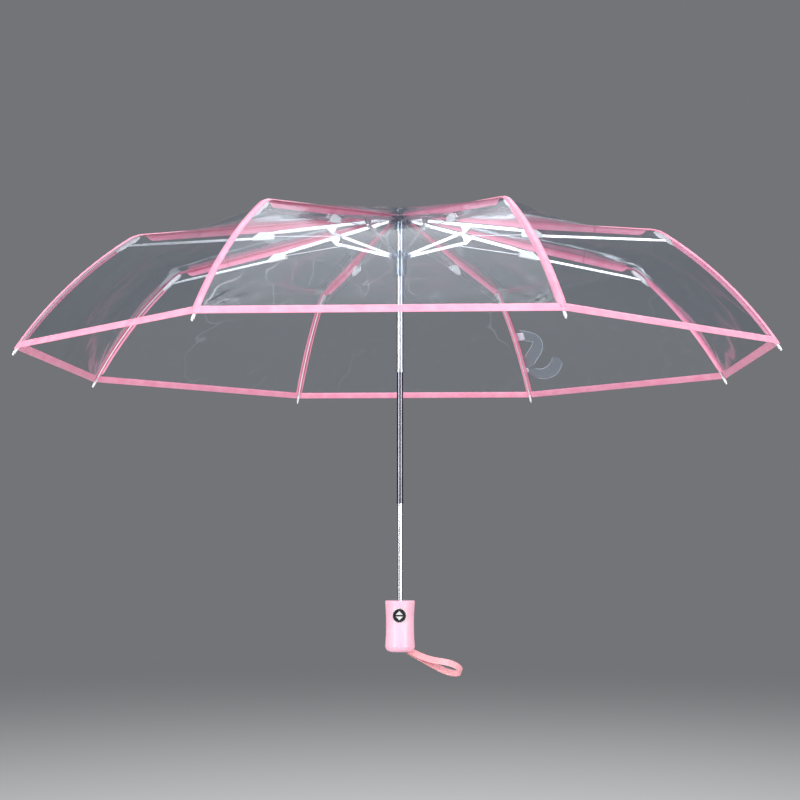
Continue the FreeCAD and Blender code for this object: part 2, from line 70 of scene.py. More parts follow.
# film
KNEE_ROUND = 0.010                  # the film bends over the knee within this, each way
KNEE_SAG, OPEN_SAG = 0.0085, 0.003  # how far the film's middle hangs in, at the knee and elsewhere
SAG_REACH = 0.075                   # how far from the knee its sag fades
SLACK, RIPPLE, PULL = 0.0012, 0.00016, 0.0007   # depths of the long folds, ripples and corner pulls
PULL_REACH, PULL_FOLDS = 0.055, 17  # how far the pulls go from a hem's corner, and how many fan out
CELL = 0.005                        # the film's mesh

# binding tape
TAPE_HALF = 0.005                   # half its width
TAPE_TOP, TAPE_FOOT = 0.00055, -0.00014     # its upper and lower faces, off the film
TAPE_STEP = 0.004                   # its mesh, along it
TAPE_CROWN = 0.00035                # how much its edges drop
NARROW = 0.49                       # largest share of a gore's width for half a tape
SEAM_START = 0.0048                 # how far from the apex the seam tapes start
SEAM_STOP = 0.004                   # how far short of the hem they end
SEAM_PUCKER, SEAM_PUCKER_STEP, SEAM_SETTLES = 0.00012, 0.011, 0.012
HEM_PUCKER, HEM_PUCKER_STEP, HEM_SETTLES = 0.00015, 0.013, 0.020
ON_HEM = 0.001                      # the hem's directions are taken this far inside it

# the seam's folded edges, which stand down beside the rib
FIN_START, FIN_GROWTH, FIN_DEEP = 0.0010, 0.042, 0.0088     # depth at the apex, its growth, its most
FIN_TAIL, FIN_LEAST = 0.0068, 0.0006                        # depth past the knee, and its least
FIN_THICK, FIN_BESIDE, FIN_LEAN = 0.0009, 0.0031, 0.0004
FIN_FROM_APEX, FIN_FROM_HEM, FIN_RINGS = 0.014, 0.005, 72

# stitches: step and length along the tape, half width, rise and root, and distance from its edge
STITCH_STEP, STITCH_LONG = 0.0034, 0.0022
STITCH_HALF, STITCH_RISE, STITCH_ROOT = 0.00022, 0.0002, 0.0001
STITCH_AT = TAPE_TOP + 0.00006      # a stitch's middle, off the film
STITCH_IN = 0.0014

# ferrules at the ribs' ends: where a rib ends, as (out, up), and (distance in, radius) along a sleeve
RIB_END = Vector((0.500, 0.339))
FERRULE_IN = 0.0015
FERRULE = [(0.0, 0.0010), (0.0001, 0.0016), (0.0008, 0.0019), (0.0020, 0.0017),
           (0.0075, 0.0017), (0.0085, 0.0021), (0.0098, 0.0021), (0.0104, 0.0014)]

# the wrist strap's route, as (along, across) in its own tilted plane
STRAP_WIDE, STRAP_THICK = 0.010, 0.0012
STRAP_EXIT = Vector((0.0105, 0.0, -0.0295))
STRAP_DROP, STRAP_TILT = math.radians(20.0), math.radians(40.0)
STRAP_ROUTE = [(0.0, -0.0009), (0.012, 0.0012), (0.025, 0.0022), (0.037, 0.0002), (0.049, -0.0044),
               (0.060, -0.0068), (0.070, -0.0044), (0.076, 0.0030), (0.070, 0.0110), (0.058, 0.0145),
               (0.046, 0.0132), (0.034, 0.0102), (0.022, 0.0069), (0.011, 0.0036), (0.0, 0.0009)]

# the closing strap: its rib, how far up the seam from the hem it is sewn, its shape, and the
# routes of its two lengths as (out, up, off) points in its own frame
STRAP_RIB = 1
STRAP_FOOT = 0.048
BAND_HALF, BAND_CURL = 0.010, 0.0012
BAND_START, BAND_WIDENS = 0.35, 0.020       # share of its width at the seam, and where it is full
HANGING_ROUTE = [(0.002, 0.000, 0.0035), (0.020, -0.010, 0.0040), (0.040, -0.013, 0.0060),
                 (0.060, -0.004, 0.0085), (0.070, 0.014, 0.0080)]
LOOPED_ROUTE = [(0.002, 0.004, 0.0030), (0.014, 0.020, 0.0040), (0.034, 0.036, 0.0065),
                (0.038, 0.052, 0.0080), (0.026, 0.060, 0.0060), (0.008, 0.066, 0.0042)]
SLAB_EDGE = [(-1.0, 0.0004), (-0.7, 0.0), (0.7, 0.0), (1.0, 0.0004), (1.0, 0.0012)]

# button mark: half a triangle's width, its point's and its base's distance from the middle
MARK_HALF, MARK_TALL, MARK_GAP = 0.0050, 0.0060, 0.0011
MARK_PROUD, MARK_SUNK, MARK_DRAFT = 0.0002, 0.0004, 0.06

# springs: wire's radius, pitch, and the height above the middle tube's foot where the lengths meet
SPRING_WIRE, SPRING_PITCH, SPRING_MEET = 0.0004, 0.011, 0.088
SPRING_CLEAR = 0.001
BUTTON_WIRE, BUTTON_PITCH, BUTTON_KEEP = 0.0003, 0.0011, 0.1

CAMERA_AWAY, CAMERA_UP = 1.968, 0.113
CAMERA_SIDE, CAMERA_PITCH = math.radians(2.80), math.radians(5.40)
CAMERA_LENS, CAMERA_SENSOR = 67.04, 36.0

FLOOR_LEVEL, FLOOR_REACH = -0.42, 40.0
FADE_FROM, FADE_TO = 1.2, 5.0       # the floor fades into the backdrop between these distances


# ---------------------------------------------------------------- small helpers
def smooth(x):
    x = max(0.0, min(1.0, x))
    return x * x * (3 - 2 * x)


def spread(low, high, count):
    """count + 1 even values from low to high."""
    return [low + (high - low) * k / count for k in range(count + 1)]


def tight_ends(values, gap=0.0003):
    """The values with one more just inside each end, which keeps a piece's ends square."""
    return [values[0], values[0] + gap] + values[1:-1] + [values[-1] - gap, values[-1]]


def joint_at(name):
    return next(Vector(j["pos_m"]) for j in frame["joints"] if j["name"] == name)


def out_and_up(point):
    return Vector((math.hypot(point.x, point.y), point.z))


def rib_turn(i):
    return Matrix.Rotation(FIRST_RIB + GORE * i, 4, "Z")


def mesh_object(name, verts, faces, materials, face_materials=None, uvs=None, flat=False):
    """A mesh piece; uvs holds one pair per vertex."""
    mesh = bpy.data.meshes.new(name)
    mesh.from_pydata([tuple(v) for v in verts], [], faces)
    for m in materials:
        mesh.materials.append(m)
    if face_materials:
        mesh.polygons.foreach_set("material_index", face_materials)
    if uvs:
        layer = mesh.uv_layers.new(name="cloth")
        for loop in mesh.loops:
            layer.data[loop.index].uv = uvs[loop.vertex_index]
    if not flat:
        mesh.shade_smooth()
    mesh.update()
    ob = bpy.data.objects.new(name, mesh)
    bpy.context.scene.collection.objects.link(ob)
    return ob


def grid_faces(rows, cols):
    """Quads of a grid with that many points each way."""
    return [(r * cols + c, r * cols + c + 1, (r + 1) * cols + c + 1, (r + 1) * cols + c)
            for r in range(rows - 1) for c in range(cols - 1)]


def loft(rings):
    """Vertices and faces of a closed skin over equal rings, with its two ends capped."""
    count = len(rings[0])
    verts = [p for ring in rings for p in ring]
    faces = [(k * count + j, k * count + (j + 1) % count,
              (k + 1) * count + (j + 1) % count, (k + 1) * count + j)
             for k in range(len(rings) - 1) for j in range(count)]
    last = (len(rings) - 1) * count
    faces.append(tuple(reversed(range(count))))
    faces.append(tuple(range(last, last + count)))
    return verts, faces


# ---------------------------------------------------------------- materials
class Nodes:
    """A material's node tree, with short calls for the nodes used here."""

    def __init__(self, name):
        self.material = bpy.data.materials.new(name)
        self.material.use_nodes = True
        self.tree = self.material.node_tree
        self.shader = self.tree.nodes["Principled BSDF"]
        self.output = self.tree.nodes["Material Output"]

    def add(self, kind, inputs=None, **settings):
        node = self.tree.nodes.new(kind)
        for key, value in settings.items():
            setattr(node, key, value)
        for key, value in (inputs or {}).items():
            self.give(node.inputs[key], value)
        return node

    def give(self, socket, value):
        if isinstance(value, bpy.types.NodeSocket):
            self.tree.links.new(value, socket)
        else:
            socket.default_value = value

    def set(self, **values):
        for key, value in values.items():
            self.give(self.shader.inputs[key.replace("_", " ")], value)

    def place(self):
        return self.add("ShaderNodeTexCoord").outputs["Object"]

    def from_axis(self):
        """Distance from the shaft's axis."""
        flat = self.add("ShaderNodeVectorMath", {0: self.place(), 1: (1, 1, 0)}, operation="MULTIPLY")
        return self.add("ShaderNodeVectorMath", {0: flat.outputs[0]}, operation="LENGTH").outputs["Value"]

    def cloth(self):
        return self.add("ShaderNodeUVMap", uv_map="cloth").outputs["UV"]

    def noise(self, where, scale, detail=3.0, stretch=None):
        if stretch:
            where = self.add("ShaderNodeMapping", {"Vector": where, "Scale": stretch}).outputs["Vector"]
        return self.add("ShaderNodeTexNoise",
                        {"Vector": where, "Scale": scale, "Detail": detail}).outputs["Fac"]

    def creases(self, where, patches_at, scale, width, patch_scale):
        """1 on thin crooked lines, in patches only."""
        cells = self.add("ShaderNodeTexVoronoi", {"Vector": where, "Scale": scale},
                         feature="DISTANCE_TO_EDGE").outputs["Distance"]
        lines = self.ramp(cells, (0.0, 1.0), (width, 0.0))
        patches = self.ramp(self.noise(patches_at, patch_scale, 2.0), (0.52, 0.0), (0.62, 1.0))
        return self.maths("MULTIPLY", lines, patches)

    def ramp(self, value, *stops):
        """Colours or greys from (place, colour) stops."""
        node = self.add("ShaderNodeValToRGB", {"Fac": value})
        elements = node.color_ramp.elements
        while len(elements) < len(stops):
            elements.new(0.5)
        for element, (place, colour) in zip(elements, stops):
            element.position = place
            element.color = (*colour, 1) if hasattr(colour, "__len__") else (colour,) * 3 + (1,)
        return node.outputs["Color"]

    def map(self, value, low, high, to_low, to_high):
        return self.add("ShaderNodeMapRange", {"Value": value, "From Min": low, "From Max": high,
                                               "To Min": to_low, "To Max": to_high}).outputs["Result"]

    def maths(self, operation, *values):
        node = self.add("ShaderNodeMath", operation=operation)
        for socket, value in zip(node.inputs, values):
            self.give(socket, value)
        return node.outputs[0]

    def bump(self, height, strength, distance):
        node = self.add("ShaderNodeBump", {"Height": height, "Strength": strength, "Distance": distance})
        return node.outputs["Normal"]

    def surface(self, share, one, other):
        """The surface is one shader where share is 0 and the other where it is 1."""
        mix = self.add("ShaderNodeMixShader", {0: share, 1: one, 2: other})
        self.give(self.output.inputs["Surface"], mix.outputs[0])


def clear_film(name, tint, haze, shine, milk=0.0, rim=0.0):
    """Thin clear plastic: seen through, with a glossy skin, faint scuffs, scratches and fine
    creases. haze and shine are the shares of light that it throws back face on and edge on,
    milk is how cloudy it is, and rim is how much cloudier a band's two edges are: a painted highlight
    along them."""
    n = Nodes(name)
    where = n.place()
    waves = n.noise(where, 7.0, 1.0, (1.0, 1.0, 1.8))
    fine = n.noise(where, 90.0, 1.0)
    scuffs = n.ramp(n.noise(where, 60.0, 5.0, (1.0, 0.35, 1.6)), (0.58, 0.0), (0.78, 1.0))
    warp = n.add("ShaderNodeTexNoise", {"Vector": where, "Scale": 7.0, "Detail": 3.0}).outputs["Color"]
    bent = n.add("ShaderNodeVectorMath", {0: warp, 1: (0.22, 0.22, 0.22), 2: where},
                 operation="MULTIPLY_ADD").outputs[0]
    creases = n.creases(bent, where, 7.0, 0.014, 6.5)
    pulled = n.add("ShaderNodeVectorMath", {0: bent, 1: (1.0, 1.0, 0.22)}, operation="MULTIPLY").outputs[0]
    scratches = n.creases(pulled, where, 30.0, 0.012, 9.0)
    height = n.maths("ADD", waves, n.maths("MULTIPLY", fine, 0.01))
    height = n.maths("ADD", height, n.maths("MULTIPLY", creases, 0.15))
    normal = n.bump(height, 0.22, 0.004)
    n.set(Base_Color=(0.70, 0.74, 0.80, 1), Normal=normal, Metallic=1.0 - milk, IOR=1.5,
          Roughness=n.map(scuffs, 0, 1, 0.10, 0.30))
    facing = n.add("ShaderNodeLayerWeight", {"Blend": 0.5, "Normal": normal}).outputs["Facing"]
    share = n.map(n.maths("POWER", facing, 3.2), 0.0, 1.0, haze, shine)
    share = n.maths("ADD", share, n.maths("MULTIPLY", scuffs, 0.05))
    share = n.maths("ADD", share, n.maths("MULTIPLY", creases, 0.20))
    share = n.maths("ADD", share, n.maths("MULTIPLY", scratches, 0.11))
    if rim:
        # rim: the band's two edges made cloudier and paler, a painted highlight along them
        across = n.add("ShaderNodeSeparateXYZ", {"Vector": n.cloth()}).outputs["Y"]
        painted_edge_highlight = n.map(n.maths("ABSOLUTE", across), BAND_HALF * 0.84, BAND_HALF * 0.93, 0.0, rim)
        share = n.maths("ADD", share, painted_edge_highlight)
    share = n.add("ShaderNodeClamp", {"Value": share}).outputs[0]
    through = n.add("ShaderNodeBsdfTransparent", {"Color": tint}).outputs["BSDF"]
    n.surface(share, through, n.shader.outputs["BSDF"])
    return n.material


def woven(name, light, dark, rib_step, rough, sheen):
    """Ribbed satin tape: fine cross ribs and a faint blotch, with painted shade and highlight on the ribs:
    colour paler on their crests and darker in their grooves.
    """
    n = Nodes(name)
    uv = n.cloth()
    split = n.add("ShaderNodeSeparateXYZ", {"Vector": uv})
    along, across = split.outputs["X"], split.outputs["Y"]
    weft = n.maths("SINE", n.maths("MULTIPLY", along, 2 * math.pi / rib_step))
    warp = n.maths("SINE", n.maths("MULTIPLY", across, 2 * math.pi / (rib_step * 0.8)))
    weave = n.maths("ADD", n.maths("MULTIPLY", weft, 0.6), n.maths("MULTIPLY", warp, 0.25))
    blotch = n.noise(n.place(), 60.0, 4.0)
    # painted shade and highlight: the colour follows the ribs' height, paler on the crests and darker in
    # the grooves, over the random blotch
    blotch_and_rib_shade = n.maths("ADD", n.maths("MULTIPLY", weave, 0.16), blotch)
    n.set(Base_Color=n.ramp(blotch_and_rib_shade, (0.30, dark), (0.70, light)),
          Roughness=n.map(blotch, 0.3, 0.7, rough, rough + 0.14),
          Normal=n.bump(weave, 0.55, rib_step * 0.25), Sheen_Weight=sheen, Sheen_Roughness=0.4)
    return n.material


def thread(name, colour):
    n = Nodes(name)
    twist = n.noise(n.place(), 900.0, 2.0, (1.0, 1.0, 3.0))
    pale = tuple(min(1.0, c * 1.12) for c in colour)
    n.set(Base_Color=n.ramp(twist, (0.35, colour), (0.65, pale)), Roughness=0.55,
          Normal=n.bump(twist, 0.6, 0.0002))
    return n.material


def moulded(name, light, dark, rough, grain=500.0, depth=0.00012, coat=0.0):
    """Moulded plastic: a fine grain, a slow colour drift and softer worn patches."""
    n = Nodes(name)
    where = n.place()
    drift = n.noise(where, 35.0, 3.0)
    pores = n.noise(where, grain, 2.0)
    wear = n.ramp(n.noise(where, 120.0, 5.0), (0.45, 0.0), (0.75, 1.0))
    n.set(Base_Color=n.ramp(drift, (0.35, dark), (0.65, light)),
          Roughness=n.map(wear, 0, 1, rough, rough + 0.12),
          Normal=n.bump(pores, 0.35, depth), Coat_Weight=coat)
    return n.material


def metal(name, light, dark, rough, stretch, bite=0.18, wear=0.12):
    """Drawn or plated metal: fine streaks, which stretch draws out along the part, and a slow
    tarnish. bite is the streaks' depth and wear is how much rougher the worn places are."""
    n = Nodes(name)
    where = n.place()
    streaks = n.noise(where, 260.0, 3.0, stretch)
    tarnish = n.noise(where, 40.0, 4.0)
    mixed = n.maths("ADD", n.maths("MULTIPLY", streaks, 0.5), n.maths("MULTIPLY", tarnish, 0.5))
    n.set(Base_Color=n.ramp(mixed, (0.36, dark), (0.62, light)), Metallic=1.0,
          Roughness=n.map(mixed, 0.35, 0.65, rough, rough + wear),
          Normal=n.bump(streaks, bite, 0.0001))
    return n.material


def two_finishes(name, distance, inner, outer):
    """White moulding nearer the shaft's axis than a distance, and bare metal beyond it.
    inner and outer are (metallic, light, dark, rough)."""
    n = Nodes(name)
    grain = n.noise(n.place(), 220.0, 3.0)
    side = n.maths("GREATER_THAN", n.from_axis(), distance)
    colours = [n.ramp(grain, (0.35, f[2]), (0.65, f[1])) for f in (inner, outer)]
    mix = n.add("ShaderNodeMix", data_type="RGBA")
    n.give(mix.inputs["Factor"], side)
    n.give(mix.inputs[6], colours[0])
    n.give(mix.inputs[7], colours[1])
    base = n.map(side, 0, 1, inner[3], outer[3])
    n.set(Base_Color=mix.outputs[2], Metallic=n.map(side, 0, 1, inner[0], outer[0]),
          Roughness=n.maths("ADD", base, n.maths("MULTIPLY", grain, 0.10)),
          Normal=n.bump(grain, 0.2, 0.0001))
    return n.material


def make_materials():
    white, off_white = (0.90, 0.91, 0.92), (0.80, 0.82, 0.84)
    silver, grey = (0.90, 0.91, 0.93), (0.72, 0.74, 0.77)
    bright = (0.95, 0.95, 0.96)
    along_z, even = (1, 1, 0.04), (1, 1, 1)
    moulding = (0, white, off_white, 0.30)
    return {
        "film": clear_film("film", (0.90, 0.93, 0.965, 1), 0.035, 0.75),
        # the strap's film has its two edges painted paler, a painted highlight along them
        "strap_film": clear_film("strap_film", (0.88, 0.91, 0.95, 1), 0.16, 0.90, 0.75, 0.60),
        "clear": clear_film("clear", (0.86, 0.89, 0.93, 1), 0.10, 0.80, 0.3),
        "smoke": clear_film("smoke", (0.74, 0.77, 0.81, 1), 0.10, 0.75, 0.3),
        "tape": woven("tape", (1.0, 0.42, 0.57), (0.95, 0.30, 0.46), 0.0007, 0.36, 0.15),
        "thread": thread("thread", (0.98, 0.56, 0.74)),
        "webbing": woven("webbing", (0.90, 0.43, 0.46), (0.80, 0.32, 0.36), 0.0009, 0.50, 0.35),
        "grip": moulded("grip", (0.98, 0.54, 0.66), (0.93, 0.46, 0.59), 0.38, 700.0, 0.00010, 0.12),
        "button": moulded("button", (0.016, 0.016, 0.018), (0.008, 0.008, 0.009), 0.26),
        "white": moulded("white", white, off_white, 0.34),
        "pad": moulded("pad", (0.93, 0.91, 0.97), (0.80, 0.78, 0.86), 0.70, 1400.0, 0.0006),
        "chrome": metal("chrome", (0.66, 0.67, 0.70), (0.56, 0.58, 0.61), 0.15, along_z, 0.01, 0.04),
        # the middle tube's chrome: the same metal as the other tubes, with a dark reflection painted into
        # its base colour
        "chrome_painted_dark_reflection": metal("chrome_painted_dark_reflection", (0.17, 0.17, 0.20), (0.11, 0.11, 0.13), 0.17, along_z,
                             0.01, 0.04),
        "bezel": metal("bezel", (0.98, 0.95, 0.96), (0.90, 0.87, 0.88), 0.30, even),
        "mark": metal("mark", bright, (0.86, 0.86, 0.88), 0.42, even),
        "steel": metal("steel", silver, grey, 0.30, even),
        "wire": metal("wire", silver, grey, 0.26, even),
        "spring": metal("spring", (0.52, 0.53, 0.55), (0.32, 0.33, 0.35), 0.28, even),
        "middle_rib": two_finishes("middle_rib", 0.2031, moulding, (1, silver, grey, 0.26)),
        "tail_rib": two_finishes("tail_rib", 0.4968, moulding, (1, bright, silver, 0.16))}


def dress(names, material):
    for name in names:
        ob = frame["nodes"][name]
        for place in ob.material_slots:
            place.material = material


def on_all(stem):
    return ["%s_%d" % (stem, i + 1) for i in range(RIBS)]


def dress_cad(m):
    dress(["handle_grip", "handle_collar", "handle_cap"], m["grip"])
    dress(["button_bezel"], m["bezel"])
    dress(["push_button", "latch_fork"], m["button"])
    dress(["crown_tie_ring"], m["spring"])
    dress(["lower_tube", "upper_tube"], m["chrome"])
    # the middle tube wears the chrome with the painted dark reflection
    dress(["middle_tube"], m["chrome_painted_dark_reflection"])
    dress(["crown", "runner"], m["smoke"])
    dress(["top_cap"], m["clear"])
    dress(on_all("top_rib") + on_all("stretcher"), m["steel"])
    dress(on_all("link_rod"), m["wire"])
    dress(on_all("middle_rib"), m["middle_rib"])
    dress(on_all("tail_rib"), m["tail_rib"])


# ---------------------------------------------------------------- the canopy's surface
def seam_corners():
    """The film's corners at rib 1, from the apex to the hem, as (out, up)."""
    tops = {}
    for v in frame["nodes"]["canopy_film"].data.vertices:
        if abs(math.atan2(v.co.y, v.co.x) - FIRST_RIB) < 0.002:
            out = round(math.hypot(v.co.x, v.co.y), 4)
            tops[out] = max(tops.get(out, -1.0), v.co.z)
    return [Vector(pair) for pair in sorted(tops.items())]


def circle_through(a, b, c):
    """Centre and radius of the circle through three points in a plane."""
    first, second = b - a, c - a
    cross = 2 * (first.x * second.y - first.y * second.x)
    u, v = first.length_squared, second.length_squared
    centre = Vector(((second.y * u - first.y * v) / cross, (first.x * v - second.x * u) / cross))
    return a + centre, centre.length


FIRST_RIB = math.atan2(joint_at("canopy_fold").y, joint_at("canopy_fold").x)
CORNERS = seam_corners()
APEX, KNEE, HEM = CORNERS[0], CORNERS[1], CORNERS[-1]
SLOPE = (KNEE - APEX).normalized()
ARC_CENTRE, ARC_RADIUS = circle_through(KNEE, CORNERS[2], HEM)
ARC_FROM = math.atan2(KNEE.y - ARC_CENTRE.y, KNEE.x - ARC_CENTRE.x)
ARC_TO = math.atan2(HEM.y - ARC_CENTRE.y, HEM.x - ARC_CENTRE.x)
MID_AT = (out_and_up(joint_at("middle_rib_1_hinge")) - APEX).dot(SLOPE)
KNEE_AT = (KNEE - APEX).length
HEM_AT = KNEE_AT + ARC_RADIUS * (ARC_FROM - ARC_TO)
FIN_END = KNEE_AT - 0.010


def straight(s):
    return APEX + SLOPE * s


def bend(s):
    angle = ARC_FROM - s / ARC_RADIUS
    return ARC_CENTRE + Vector((math.cos(angle), math.sin(angle))) * ARC_RADIUS


def seam_point(s):
    """(out, up) of the seam, s down it from the apex."""
    before = s - (KNEE_AT - KNEE_ROUND)
    if 0 < before < 2 * KNEE_ROUND:
        share = before / (2 * KNEE_ROUND)
        a, b, c = straight(KNEE_AT - KNEE_ROUND), KNEE, bend(KNEE_ROUND)
        return a * (1 - share) ** 2 + b * 2 * share * (1 - share) + c * share ** 2
    return straight(s) if before <= 0 else bend(s - KNEE_AT)


def seam_heading(s):
    return (seam_point(s + 0.0005) - seam_point(s - 0.0005)).normalized()


def gore_width(s):
    return 2 * seam_point(s).x * math.sin(HALF_GORE)


def sag(s):
    at_knee = math.exp(-((s - KNEE_AT) / SAG_REACH) ** 2)
    return KNEE_SAG * at_knee + OPEN_SAG * math.sin(math.pi * s / HEM_AT)


def wrinkle(gore, s, across, width):
    """How far in the film dips: long soft folds, ripples, and pulls that fan out of the hem's
    corners. It is 0 along the seams and the hem."""
    calm = smooth(min(across, width - across) / 0.02) * smooth((HEM_AT - s) / 0.025) * smooth(s / 0.03)
    if calm == 0.0:
        return 0.0
    folds = SLACK * noise.noise(Vector((s * 7, across * 17, gore * 5.1)))
    ripples = RIPPLE * noise.noise(Vector((s * 42 + 3, across * 48, gore * 3.7)))
    pulls = 0.0
    below = HEM_AT - s
    for beside in (across, width - across):
        reach = math.hypot(beside, below)
        fan = math.cos(PULL_FOLDS * math.atan2(below, beside) + gore)
        pulls += PULL * fan * math.exp(-reach / PULL_REACH) * smooth(reach / 0.02)
    return calm * (folds + ripples + pulls)


def film_point(rib, side, s, share):
    """A point of the film: s down the seam of a rib, and a share of the way to the rib beside it."""
    here = seam_point(s)
    heading = seam_heading(s)
    middle = Vector((math.cos(HALF_GORE), side * math.sin(HALF_GORE), 0))
    across = Vector((-math.sin(HALF_GORE), side * math.cos(HALF_GORE), 0))
    slope = Vector((heading.x * math.cos(HALF_GORE), heading.y)).normalized()
    inward = middle * slope.y - Vector((0, 0, slope.x))
    width = gore_width(s)
    gore, left = (rib, share) if side > 0 else ((rib - 1) % RIBS, 1 - share)
    depth = sag(s) * 4 * share * (1 - share) + wrinkle(gore, s, left * width, width)
    return Vector((here.x, 0, here.y)) + across * (width * share) + inward * depth


def film_normal(rib, side, s, share):
    """The film's upward normal there."""
    ds, dt = 0.002, 0.01
    above, below = max(s - ds, 0.0), min(s + ds, HEM_AT)
    down = film_point(rib, side, below, share) - film_point(rib, side, above, share)
    over = film_point(rib, side, s, share + dt) - film_point(rib, side, s, max(share - dt, 0.0))
    normal = down.cross(over).normalized()
    return normal if normal.z > 0 else -normal


def film_piece(name, rib, sides, low, high, material):
    """The film on one or both sides of a rib, from s = low to s = high, out to mid gore."""
    rows = max(3, round((high - low) / CELL)) + 1
    widest = max(gore_width(low), gore_width(high)) / 2
    half = max(4, round(widest / CELL))
    out = spread(0.0, 0.5, half)
    shares = [(sides[0], share) for share in out]
    if len(sides) == 2:
        shares = [(sides[1], share) for share in reversed(out[1:])] + shares
    turn = rib_turn(rib)
    verts, normals = [], []
    for s in spread(low, high, rows - 1):
        for side, share in shares:
            verts.append(turn @ film_point(rib, side, s, share))
            normals.append(turn.to_3x3() @ film_normal(rib, side, s, share))
    faces = grid_faces(rows, len(shares))
    first = faces[0]
    facing = (verts[first[1]] - verts[first[0]]).cross(verts[first[3]] - verts[first[0]])
    if facing.z < 0:
        faces = [tuple(reversed(f)) for f in faces]
    ob = mesh_object(name, verts, faces, [material])
    ob.data.normals_split_custom_set_from_vertices(normals)
    return ob


def film(m):
    """The clear sheet, cut at the ribs' hinges so that each stretch rides on its own rib."""
    for i in range(RIBS):
        stretches = [("top", (1, -1), 0.0, MID_AT, "top_rib"),
                     ("middle", (1, -1), MID_AT, KNEE_AT, "middle_rib"),
                     ("tail_left", (1,), KNEE_AT, HEM_AT, "tail_rib"),
                     ("tail_right", (-1,), KNEE_AT, HEM_AT, "tail_rib")]
        for part, sides, low, high, body in stretches:
            ob = film_piece("film_%s_%d" % (part, i + 1), i, sides, low, high, m["film"])
            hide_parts("canopy_film")
            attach(ob, "%s_%d" % (body, i + 1))
            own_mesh(ob)


def stitch(verts, faces, centre, along, off):
    """One small raised stitch, a stretched octahedron, added to the lists."""
    side = along.cross(off).normalized()
    start = len(verts)
    verts += [centre - along * (STITCH_LONG / 2), centre + along * (STITCH_LONG / 2),
              centre + side * STITCH_HALF, centre - side * STITCH_HALF,
              centre + off * STITCH_RISE, centre - off * STITCH_ROOT]
    for a, b in ((2, 4), (4, 3), (3, 5), (5, 2)):
        faces.append((start, start + b, start + a))
        faces.append((start + 1, start + a, start + b))


def tape_object(name, rings, uvs, stitches, m, fin=()):
    """A closed tape over its rings, with its stitches in a second material, and the folded
    seam under it, if it has one."""
    verts, faces = loft(rings)
    if fin:
        more, sides = loft([[p for p, _ in ring] for ring in fin])
        faces += [tuple(k + len(verts) for k in face) for face in sides]
        verts += more
        uvs = uvs + [uv for ring in fin for _, uv in ring]
    kinds = [0] * len(faces)
    for centre, along, off in stitches:
        before = len(faces)
        stitch(verts, faces, centre, along, off)
        kinds += [1] * (len(faces) - before)
    uvs = uvs + [(0.0, 0.0)] * (len(verts) - len(uvs))
    return mesh_object(name, verts, faces, [m["tape"], m["thread"]], kinds, uvs)


def seam_side(rib, s, v):
    """A point v across from a seam, on the film."""
    side = 1 if v >= 0 else -1
    return film_point(rib, side, s, abs(v) / gore_width(s))


def fin_depth(s):
    """How far the bound edges stand down from the seam. They all but vanish at the knee."""
    inner = min(FIN_START + FIN_GROWTH * s, FIN_DEEP) * smooth((FIN_END - s) / 0.012)
    tail = FIN_TAIL * smooth((s - KNEE_AT - 0.012) / 0.020) * smooth((HEM_AT - 0.006 - s) / 0.014)
    return max(inner, tail, FIN_LEAST)


def seam_fin(rib, low, high):
    """Rings, as (point, cloth place), of the folded tape that stands down beside the rib."""
    turn = rib_turn(rib)
    half = FIN_THICK / 2
    outline = [(half, 0.0), (half, 0.5), (half, 0.92), (0.4 * half, 1.0), (-0.4 * half, 1.0),
               (-half, 0.92), (-half, 0.5), (-half, 0.0)]
    rings = []
    for s in spread(max(low, FIN_FROM_APEX), min(high, HEM_AT - FIN_FROM_HEM), FIN_RINGS):
        here, heading = seam_point(s), seam_heading(s)
        off = Vector((-heading.y, 0, heading.x))
        foot = Vector((here.x, 0, here.y))
        depth = fin_depth(s)
        beside = -min(FIN_BESIDE, 0.25 * gore_width(s))
        lean = FIN_LEAN * math.sin(s * 31 + rib)
        rings.append([(turn @ (foot - off * (depth * down) + Vector((0, x + beside + lean * down, 0))),
                       (s, depth * down * math.copysign(1, x))) for x, down in outline])
    return rings


def seam_tape(rib, low, high, m, name):
    """Binding along one rib's seam, s = low to high, with two rows of stitches."""
    turn = rib_turn(rib)
    spin = turn.to_3x3()
    rings, uvs, stitches = [], [], []
    for s in tight_ends(spread(low, high, round((high - low) / TAPE_STEP))):
        heading = seam_heading(s)
        off = Vector((-heading.y, 0, heading.x))
        settled = smooth((s - low) / SEAM_SETTLES) * smooth((high - s) / SEAM_SETTLES)
        pucker = SEAM_PUCKER * math.sin(s * 2 * math.pi / SEAM_PUCKER_STEP + rib) * settled
        half = min(TAPE_HALF + pucker, NARROW * gore_width(s))
        ring = [(v, TAPE_TOP + pucker - TAPE_CROWN * (abs(v) / half) ** 4) for v in spread(-half, half, 6)]
        ring += [(v, TAPE_FOOT) for v in spread(half, -half, 6)]
        rings.append([turn @ (seam_side(rib, s, v) + off * height) for v, height in ring])
        uvs += [(s, v) for v, _ in ring]
    for k in range(int((high - low) / STITCH_STEP)):
        s = low + (k + 0.5) * STITCH_STEP
        heading = seam_heading(s)
        off = Vector((-heading.y, 0, heading.x))
        along = Vector((heading.x, 0, heading.y))
        half = min(TAPE_HALF, NARROW * gore_width(s))
        for v in (-half + STITCH_IN, half - STITCH_IN):
            stitches.append((turn @ (seam_side(rib, s, v) + off * STITCH_AT), spin @ along, spin @ off))
    return tape_object(name, rings, uvs, stitches, m, seam_fin(rib, low, high))


